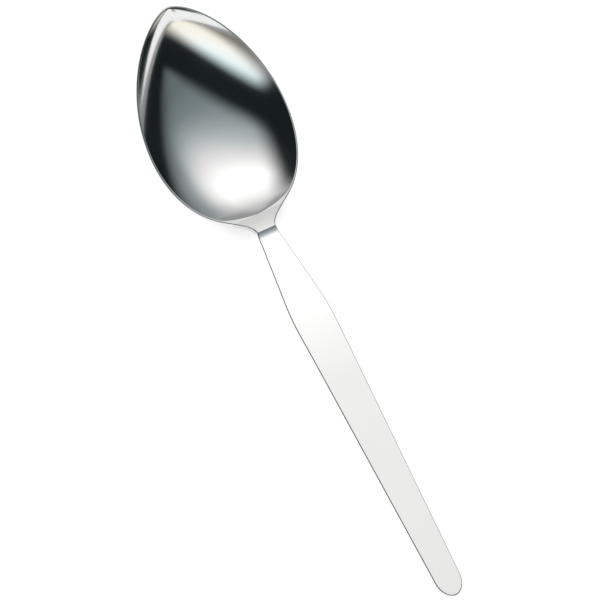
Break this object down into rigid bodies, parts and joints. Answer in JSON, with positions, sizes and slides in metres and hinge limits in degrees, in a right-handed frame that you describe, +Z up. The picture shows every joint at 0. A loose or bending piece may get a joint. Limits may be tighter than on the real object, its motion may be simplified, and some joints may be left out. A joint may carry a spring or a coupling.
{
  "type": "dessert spoon",
  "caption": "Polished stainless steel dessert spoon with a pointed dished bowl, a stepped neck and a flat handle that widens to shoulders and tapers to a rounded end.",
  "frame": {"origin": "on the table plane, under the centre of the spoon's bounding box", "axes": "+X from the bowl tip to the handle end, +Y across the spoon, +Z up out of the open bowl"},
  "size_m": [0.1756, 0.0404, 0.025],
  "materials": {
    "bowl_steel": "polished",
    "handle_steel": "polished"
  },
  "bodies": {
    "root": {"bowl": "bowl_steel", "neck": "handle_steel", "handle": "handle_steel"}
  },
  "joints": []
}
